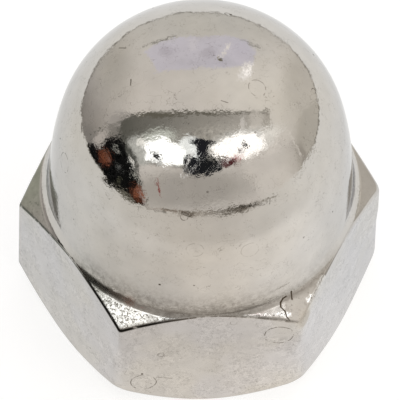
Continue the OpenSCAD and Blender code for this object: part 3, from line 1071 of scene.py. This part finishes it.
def studio_world(stage):
    """The room round the table. Every direction d is laid out where a mirror ball shows it to
    the camera: the half vector of d and the direction to the camera, measured along the
    camera's right and up. Rays from the camera itself see plain white."""
    world = bpy.data.worlds.new("studio")
    bpy.context.scene.world = world
    world.use_nodes = True
    net = Net(world.node_tree)
    back, side, up = camera_axes(stage)
    ray = net.node("ShaderNodeTexCoord")["Generated"]
    half = net.vec("NORMALIZE", net.vec("ADD", ray, tuple(back)))
    spot = net.combine(*(net.vec("DOT_PRODUCT", half, tuple(axis * 100)) for axis in (side, up)), 0.0)
    shake = net.vec("SUBTRACT", net.noise(spot, 0.30, 3, 0.7, "Color"), (0.5, 0.5, 0.5))
    spot = net.vec("MULTIPLY_ADD", shake, (3.0, 3.0, 0), spot)
    ragged = net.math("MULTIPLY_ADD", net.noise(spot, 0.9, 3, 0.75), 2.0, -1.0)

    # the room, the band of dark wall, the lamps, and what stands before them
    colour = paint(net, spot, ragged, ROOM, ROOM_SHAPES)
    across = net.fade(net.parts(spot)[0], *BAND_ENDS, smooth=False)
    band = paint(net, spot, ragged, net.mix(across, BAND_LEFT, BAND_RIGHT), BAND_SHAPES)
    colour = net.mix(inside(net, spot, ragged, BAND, 2.2, 2.6), colour, band)
    colour = paint(net, spot, ragged, colour, LAMP_SHAPES)
    colour = streaked(net, spot, ragged, colour, (LAMP_STREAKS, 10, 0), 35, 2.6,
                      (0.85, 3, 0.75), (0.36, 0.68, 0.80, 1.75), smooth=False)
    colour = paint(net, spot, ragged, colour, FRONT_SHAPES)
    colour = streaked(net, spot, ragged, colour, (COAT_FOLDS, 1.2, 2), -50, 2.2,
                      (1.2, 3, 0.8), (0.42, 0.60, 0.10, 1.25))

    # the table beyond its edge, and a broken dark line along the edge
    rim = table_edge(net, spot)
    colour = net.mix(net.fade(rim, 0.996, 1.003), colour, table_light_and_shade(net, ray, 1.0))
    colour = paint(net, spot, ragged, colour, RIM_SHAPES)
    open_side = net.fade(net.vec("DISTANCE", spot, (60, -26, 0)), 18, 30)
    broken = net.fade(net.noise(spot, 0.34, 3, 0.7), 0.32, 0.50, 0.20, 1.0)
    line = net.times(net.fade(net.off(rim, 0.999), 0.0078, 0.0024), broken, open_side)
    colour = net.mix(net.times(line, 0.70), colour, RIM_TONE)

    colour = net.mix(net.node("ShaderNodeLightPath")["Is Camera Ray"], colour, WHITE)
    sky = net.node("ShaderNodeBackground", Color=colour, Strength=1.0)[0]
    net.node("ShaderNodeOutputWorld", Surface=sky)


def white_table():
    """White to the camera, with the nut's soft shadow; to polished metal it glows with a quiet tone of
    painted light and shade, a painted shadow of the nut included.
    """
    material, net = new_material("white_table")
    path = net.node("ShaderNodeLightPath")
    place = net.node("ShaderNodeTexCoord")["Object"]
    matt = net.node("ShaderNodeBsdfDiffuse", Color=(0.5, 0.5, 0.5))[0]
    glow = net.math("MULTIPLY", path["Is Camera Ray"], TABLE_GLOW)
    glow = net.node("ShaderNodeEmission", Color=WHITE, Strength=glow)[0]
    plain = net.feed(net.add("ShaderNodeAddShader"), matt, glow)[0]
    # painted light and shade: glossy rays see the table glow with this tone
    tone = net.node("ShaderNodeEmission", Color=table_light_and_shade(net, place, net.vec("LENGTH", place)))[0]
    seen = net.most(path["Is Glossy Ray"], path["Is Transmission Ray"])
    both = net.feed(net.add("ShaderNodeMixShader"), seen, plain, tone)[0]
    net.node("ShaderNodeOutputMaterial", Surface=both)
    return material


def table_top(stage):
    """The round white table under the nut: rings of points whose radius grows evenly."""
    radius = stage.table_radius * np.linspace(0, 1, 25)[1:]
    angle = np.linspace(0, 2 * math.pi, 97)[:-1]
    ring = np.stack([np.outer(radius, np.cos(angle)), np.outer(radius, np.sin(angle)),
                     np.full((len(radius), len(angle)), -TABLE_DROP)], -1)
    verts = np.concatenate([ring.reshape(-1, 3), [[0, 0, -TABLE_DROP]]])
    index = np.arange(len(radius) * len(angle)).reshape(len(radius), -1)
    right = np.roll(index, -1, axis=1)
    quads = np.stack([index[:-1], index[1:], right[1:], right[:-1]], -1).reshape(-1, 4)
    fan = np.stack([np.full(len(angle), len(verts) - 1), index[0], right[0]], -1)
    mesh = bpy.data.meshes.new("table")
    mesh.from_pydata(verts.tolist(), [], quads.tolist() + fan.tolist())
    mesh.materials.append(white_table())
    table = bpy.data.objects.new("table", mesh)
    bpy.context.scene.collection.objects.link(table)


def studio_camera(stage):
    """The camera on its own axes, looking at a point on the nut's axis."""
    data = bpy.data.cameras.new("camera")
    data.sensor_width = 36
    data.lens = stage.lens
    data.clip_start, data.clip_end = 0.01, 10
    camera = bpy.data.objects.new("camera", data)
    bpy.context.scene.collection.objects.link(camera)
    back, side, up = camera_axes(stage)
    place = Matrix((side, up, back)).transposed().to_4x4()
    place.translation = Vector((0, 0, stage.aim_height)) + back * stage.distance
    camera.matrix_world = place
    bpy.context.scene.camera = camera


# ---------------------------------------------------------------- operators

class CAPNUT_OT_nut(bpy.types.Operator):
    """Builds the nut's nickel-plated skin with its threaded hole"""
    bl_idname = "capnut.nut"
    bl_label = "Nut"

    def execute(self, context):
        size = context.scene.capnut_sizes
        mesh = closed_mesh("cap_nut_skin", *nut_surface(size))
        mesh.materials.append(nickel_plate(context.scene.capnut_finish, size))
        nut = bpy.data.objects.new("cap_nut_skin", mesh)
        context.scene.collection.objects.link(nut)
        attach(nut, "root")
        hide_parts(NODE)
        return {"FINISHED"}


class CAPNUT_OT_stage(bpy.types.Operator):
    """Builds the white table, the room's light and the camera"""
    bl_idname = "capnut.stage"
    bl_label = "Stage"

    def execute(self, context):
        stage = context.scene.capnut_stage
        studio_world(stage)
        table_top(stage)
        studio_camera(stage)
        context.scene.view_settings.view_transform = "Standard"
        return {"FINISHED"}


class CAPNUT_PT_panel(bpy.types.Panel):
    """The cap nut's steps and sizes"""
    bl_idname = "CAPNUT_PT_panel"
    bl_label = "Cap nut"
    bl_space_type = "VIEW_3D"
    bl_region_type = "UI"
    bl_category = "Cap nut"

    def draw(self, context):
        for operator in (CAPNUT_OT_nut, CAPNUT_OT_stage):
            self.layout.operator(operator.bl_idname)
        for group in (context.scene.capnut_sizes, context.scene.capnut_finish, context.scene.capnut_stage):
            box = self.layout.box()
            for key in group.__annotations__:
                box.prop(group, key)


CLASSES = (NutSizes, NutFinish, NutStage, CAPNUT_OT_nut, CAPNUT_OT_stage, CAPNUT_PT_panel)


def register():
    for cls in CLASSES:
        bpy.utils.register_class(cls)
    bpy.types.Scene.capnut_sizes = bpy.props.PointerProperty(type=NutSizes)
    bpy.types.Scene.capnut_finish = bpy.props.PointerProperty(type=NutFinish)
    bpy.types.Scene.capnut_stage = bpy.props.PointerProperty(type=NutStage)


def unregister():
    del bpy.types.Scene.capnut_stage, bpy.types.Scene.capnut_finish, bpy.types.Scene.capnut_sizes
    for cls in reversed(CLASSES):
        bpy.utils.unregister_class(cls)


def main():
    register()
    bpy.ops.capnut.nut()
    bpy.ops.capnut.stage()


if __name__ == "__main__":
    main()
